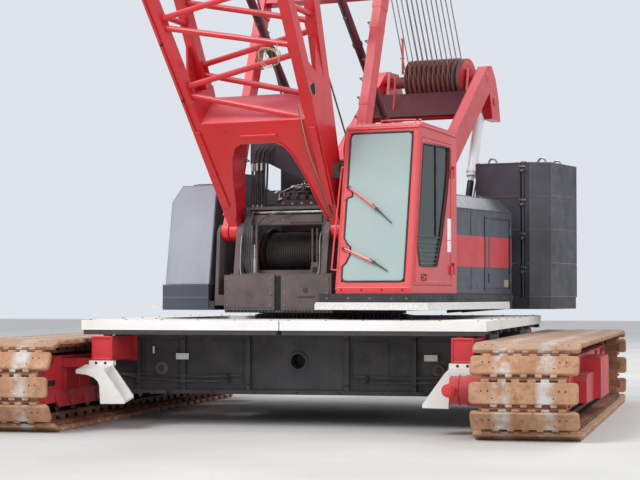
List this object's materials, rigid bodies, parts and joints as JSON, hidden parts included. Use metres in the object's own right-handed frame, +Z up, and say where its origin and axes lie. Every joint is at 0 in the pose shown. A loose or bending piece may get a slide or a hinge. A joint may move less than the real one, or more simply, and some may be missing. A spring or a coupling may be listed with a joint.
{
  "type": "crawler crane",
  "caption": "Lattice-boom crawler crane: red boom, live mast, gantry and cab on a slewing upper with stacked counterweights, over wide rusty crawlers.",
  "frame": {"origin": "on the ground, at the middle of the whole machine's box as it stands in the picture; the slew axis is 2.91 m behind it, along +Y", "axes": "+Z up, -Y towards the front of the crawlers, +X towards the side that carries the operator's cab"},
  "size_m": [7.44, 14.7665, 18.6413],
  "materials": {
    "red_paint": "satin enamel, sun-faded",
    "dark_paint": "dusty satin black",
    "grey_paint": "satin grey",
    "pale_paint": "weathered white",
    "brown_grey_paint": "greasy brown-grey",
    "maroon_paint": "dull dark red",
    "track_steel": "rusty cast steel with worn pads",
    "dark_steel": "oily dark steel",
    "rusty_steel": "rusty",
    "wire_steel": "greased wire",
    "bright_steel": "drawn",
    "cab_glass": "lightly tinted",
    "seat_fabric": "woven",
    "dark_plastic": "grained"
  },
  "bodies": {
    "base": {"carbody": "dark_paint", "slew_ring": "dark_steel", "crawler_frame_left": "red_paint", "crawler_frame_right": "red_paint", "track_left": "track_steel", "track_right": "track_steel", "rollers_left": "dark_steel", "rollers_right": "dark_steel", "final_drives": "red_paint", "cross_beams": "dark_paint", "tie_down_lugs": "dark_paint", "jack_arms": "red_paint", "step_brackets": "pale_paint", "walkways": "pale_paint"},
    "upperworks": {"bed": "dark_paint", "deck": "dark_paint", "catwalk": "pale_paint", "drum_frame": "brown_grey_paint", "house_left": "grey_paint", "house_right": "grey_paint", "engine": "dark_steel", "cab_shell": "red_paint", "cab_glass": "cab_glass", "seat": "seat_fabric", "console": "dark_plastic", "counterweight_tray": "dark_paint", "counterweight_left": "dark_paint", "counterweight_right": "dark_paint", "gantry": "red_paint", "gantry_struts": "pale_paint"},
    "front_drum": {"front_drum": "dark_steel"},
    "rear_drum": {"rear_drum": "dark_steel"},
    "luffing_drum": {"luffing_drum": "dark_steel"},
    "gantry_sheaves": {"gantry_sheaves": "rusty_steel"},
    "cab_door": {"cab_door": "red_paint", "cab_door_glass": "cab_glass"},
    "house_door_left": {"house_door_left": "grey_paint"},
    "house_door_right": {"house_door_right": "grey_paint"},
    "boom": {"boom_butt": "red_paint", "boom_insert": "red_paint", "boom_top": "red_paint", "boom_butt_lacing": "red_paint", "boom_insert_lacing": "red_paint", "boom_top_lacing": "red_paint", "pendants": "wire_steel"},
    "boom_point_sheaves": {"boom_point_sheaves": "dark_steel"},
    "mast": {"mast": "red_paint"},
    "mast_sheaves": {"mast_sheaves": "rusty_steel"},
    "stop_barrels": {"stop_barrels": "maroon_paint"},
    "stop_rods": {"stop_rods": "bright_steel"},
    "hook": {"hook_block": "red_paint", "hoist_falls": "wire_steel"}
  },
  "joints": [
    {"name": "slew", "type": "hinge", "parent": "base", "child": "upperworks", "pos_m": [0, 2.913, 1.38], "axis": [0, 0, 1], "continuous": true},
    {"name": "boom_luff", "type": "hinge", "parent": "upperworks", "child": "boom", "pos_m": [-0.32, 1.653, 2.48], "axis": [0.9692, -0.2462, 0], "range_deg": [-18, 30]},
    {"name": "mast_luff", "type": "hinge", "parent": "upperworks", "child": "mast", "pos_m": [-0.32, 1.653, 2.48], "axis": [0.9692, -0.2462, 0], "range_deg": [-18, 30]},
    {"name": "stop_swing", "type": "hinge", "parent": "upperworks", "child": "stop_barrels", "pos_m": [0.33231, 4.22146, 2.9], "axis": [0.9692, -0.2462, 0], "range_deg": [-18, 30]},
    {"name": "stop_slide", "type": "slide", "parent": "stop_barrels", "child": "stop_rods", "axis": [-0.1669, -0.6573, 0.7349], "range_m": [-0.9, 1.3]},
    {"name": "hook_plumb", "type": "hinge", "parent": "boom", "child": "hook", "pos_m": [-2.44224, -6.70336, 18.28118], "axis": [0.9692, -0.2462, 0], "range_deg": [-31, 19]},
    {"name": "front_drum_turn", "type": "hinge", "parent": "upperworks", "child": "front_drum", "pos_m": [-0.21169, 2.07946, 2.18], "axis": [0.9692, -0.2462, 0], "continuous": true},
    {"name": "rear_drum_turn", "type": "hinge", "parent": "upperworks", "child": "rear_drum", "pos_m": [0.36923, 4.36685, 2.33], "axis": [0.9692, -0.2462, 0], "continuous": true},
    {"name": "luffing_drum_turn", "type": "hinge", "parent": "upperworks", "child": "luffing_drum", "pos_m": [0.63015, 5.39423, 2.32], "axis": [0.9692, -0.2462, 0], "continuous": true},
    {"name": "gantry_sheaves_turn", "type": "hinge", "parent": "upperworks", "child": "gantry_sheaves", "pos_m": [0.84184, 6.22777, 4.93], "axis": [0.9692, -0.2462, 0], "continuous": true},
    {"name": "mast_sheaves_turn", "type": "hinge", "parent": "mast", "child": "mast_sheaves", "pos_m": [0.25903, 3.93294, 10.12634], "axis": [0.9692, -0.2462, 0], "continuous": true},
    {"name": "boom_point_sheaves_turn", "type": "hinge", "parent": "boom", "child": "boom_point_sheaves", "pos_m": [-2.44224, -6.70336, 18.28118], "axis": [0.9692, -0.2462, 0], "continuous": true},
    {"name": "cab_door_swing", "type": "hinge", "parent": "upperworks", "child": "cab_door", "pos_m": [1.8528, 1.8234, 2.5], "axis": [0, 0, 1], "range_deg": [0, 100]},
    {"name": "house_door_right_swing", "type": "hinge", "parent": "upperworks", "child": "house_door_right", "pos_m": [2.24375, 4.54903, 2.2], "axis": [0, 0, 1], "range_deg": [0, 110]},
    {"name": "house_door_left_swing", "type": "hinge", "parent": "upperworks", "child": "house_door_left", "pos_m": [-1.47674, 4.29709, 2.2], "axis": [0, 0, -1], "range_deg": [0, 110]}
  ],
  "couplings": [
    {"joint": "mast_luff", "follows": "boom_luff", "ratio": 1},
    {"joint": "stop_swing", "follows": "boom_luff", "ratio": 0.766},
    {"joint": "stop_slide", "follows": "boom_luff", "m_per_rad": 2.042},
    {"joint": "hook_plumb", "follows": "boom_luff", "ratio": -1}
  ]
}
